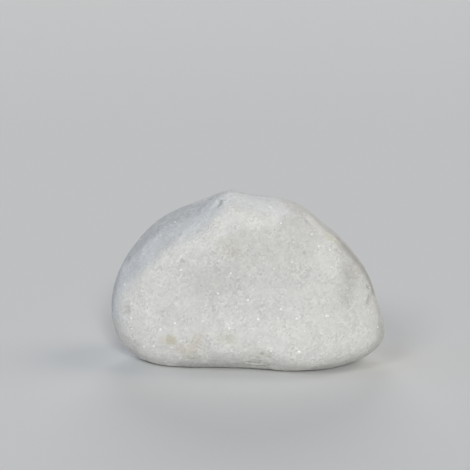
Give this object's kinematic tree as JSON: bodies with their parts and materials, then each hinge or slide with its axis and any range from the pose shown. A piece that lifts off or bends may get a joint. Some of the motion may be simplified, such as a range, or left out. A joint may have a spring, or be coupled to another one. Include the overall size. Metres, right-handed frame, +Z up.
{
  "type": "pebble",
  "caption": "Smooth water-worn pebble of white crystalline marble, standing on its long flattened edge.",
  "frame": {"origin": "middle of the bounding box, on the surface that the pebble stands on", "axes": "+X along the pebble's length, +Z up, -Y out of the broad front face"},
  "size_m": [0.1306, 0.0648, 0.0819],
  "materials": {
    "white_marble": "matte, finely crystalline"
  },
  "bodies": {
    "root": {"pebble": "white_marble"}
  },
  "joints": []
}
